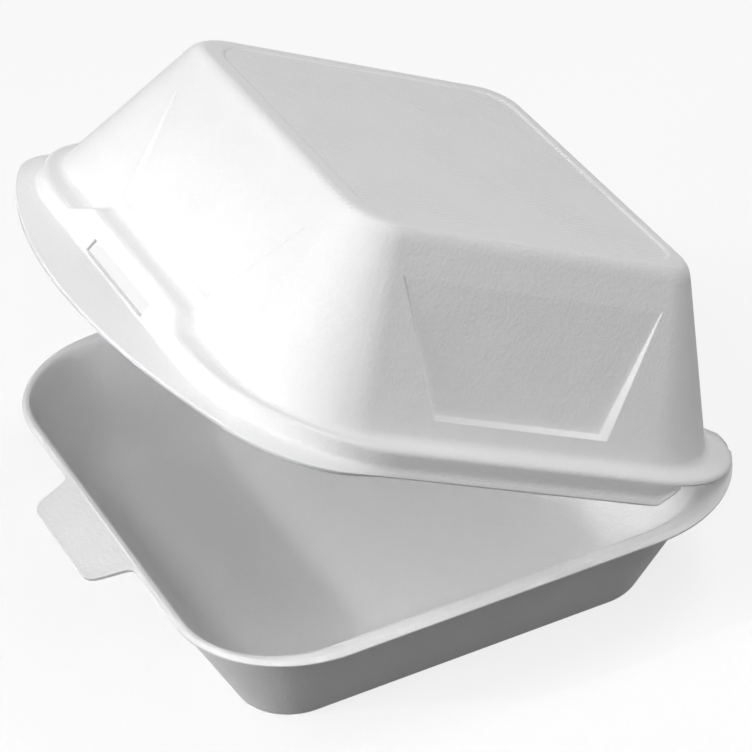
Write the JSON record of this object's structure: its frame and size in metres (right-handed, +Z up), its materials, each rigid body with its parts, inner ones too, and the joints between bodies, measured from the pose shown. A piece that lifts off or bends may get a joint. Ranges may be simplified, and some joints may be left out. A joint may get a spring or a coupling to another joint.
{
  "type": "hinged foam food box",
  "caption": "Hinged foam food box standing partly open: shallow rounded tray with a latch tongue, tall sloping lid with skirt, bowed front lip and latch slot.",
  "frame": {"origin": "middle of the tray's flat underside", "axes": "+Z up out of the tray, +X along the fold, -Y towards the latch tongue at the front"},
  "size_m": [0.1518, 0.1484, 0.1181],
  "materials": {
    "foam": "white expanded foam sheet, matt with a faint satin skin"
  },
  "bodies": {
    "tray": {"base_tray": "foam"},
    "lid": {"lid": "foam"}
  },
  "joints": [
    {"name": "lid_hinge", "type": "hinge", "parent": "tray", "child": "lid", "pos_m": [0, 0.0684, 0.0275], "axis": [-1, 0, 0], "range_deg": [-25.6, 126.9]}
  ]
}
